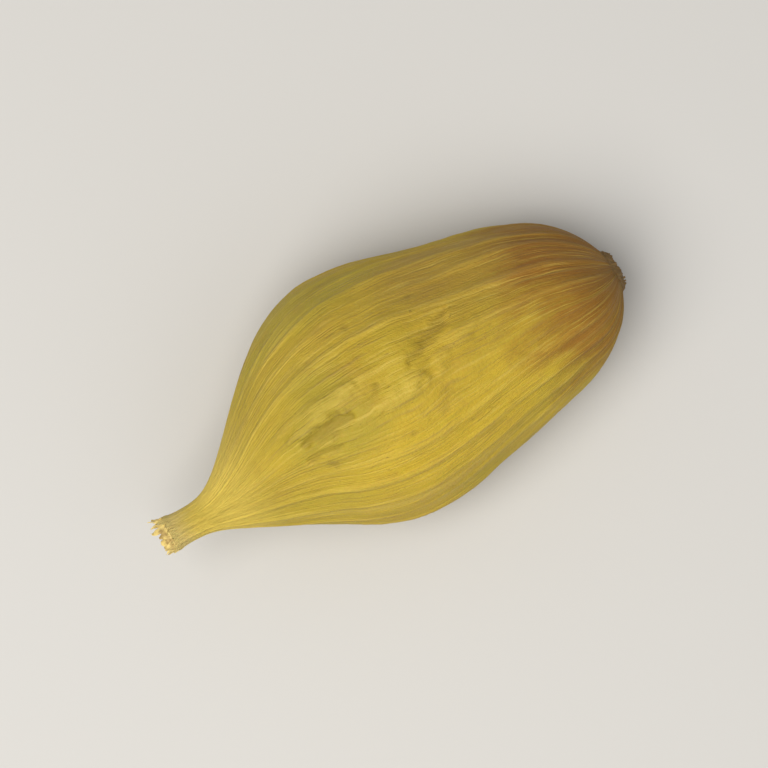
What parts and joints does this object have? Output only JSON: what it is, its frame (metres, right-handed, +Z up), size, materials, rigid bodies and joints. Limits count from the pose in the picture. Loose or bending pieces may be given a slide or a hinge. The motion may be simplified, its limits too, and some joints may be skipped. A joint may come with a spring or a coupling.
{
  "type": "green cardamom pod",
  "caption": "Dried green cardamom pod: a three-sided ribbed husk with a pale beak at one end and a short stalk stub at the other, lying on one face.",
  "frame": {"origin": "under the middle of the pod, on the surface that it lies on: the centre of its box, at the height of the rest flat", "axes": "+X from the beak to the stalk, +Z up out of the rest flat through the top ridge, +Y across the pod"},
  "size_m": [0.015, 0.0076, 0.0069],
  "materials": {
    "dry_green_husk": "satin papery fibrous husk, yellow-green with pale nerves, cream at the beak, ochre at the stalk end"
  },
  "bodies": {
    "root": {"cardamom_pod": "dry_green_husk"}
  },
  "joints": []
}
